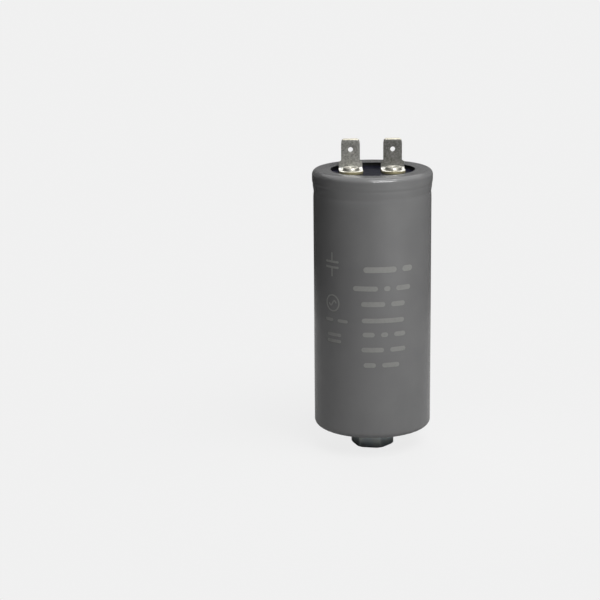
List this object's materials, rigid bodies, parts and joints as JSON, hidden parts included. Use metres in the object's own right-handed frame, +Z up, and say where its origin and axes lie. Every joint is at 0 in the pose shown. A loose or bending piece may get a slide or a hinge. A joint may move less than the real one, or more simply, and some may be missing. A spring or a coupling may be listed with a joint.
{
  "type": "motor-run film capacitor",
  "caption": "Round aluminium can in a grey shrink sleeve, with push-on blade terminals in a recessed cover on top and a threaded mounting stud with nut and toothed washer below.",
  "frame": {"origin": "middle of the nut's lower end face, on the can's axis", "axes": "+Z up along the can's axis, towards the terminals; the blades lie across X, behind the rivets on +Y"},
  "size_m": [0.0414, 0.0414, 0.1081],
  "materials": {
    "can_aluminium": "drawn, satin",
    "grey_sleeve": "shrunk film, satin",
    "dark_cover": "pressed laminate",
    "black_rubber": "matt",
    "tinned_blade": "tinned brass, lightly rolled",
    "tinned_rivet": "tinned brass, bright",
    "lug_brass": "stamped",
    "red_wire": "insulated wire",
    "blue_wire": "insulated wire",
    "zinc_spray": "sprayed zinc, rough",
    "film": "wound metallised film",
    "core_plastic": "moulded",
    "liner_plastic": "formed sheet",
    "resin": "cast resin",
    "plated_steel": "bright zinc plate"
  },
  "bodies": {
    "root": {"can": "can_aluminium", "stud": "can_aluminium", "sleeve": "grey_sleeve", "cover": "dark_cover", "gasket": "black_rubber", "terminal_left": "tinned_blade", "terminal_right": "tinned_blade", "rivet_left": "tinned_rivet", "rivet_right": "tinned_rivet", "lug_left": "lug_brass", "lug_right": "lug_brass", "lead_left": "red_wire", "lead_right": "blue_wire", "end_spray_top": "zinc_spray", "end_spray_bottom": "zinc_spray", "winding": "film", "core_tube": "core_plastic", "liner": "liner_plastic", "potting": "resin", "tooth_washer": "plated_steel", "hex_nut": "plated_steel"}
  },
  "joints": []
}
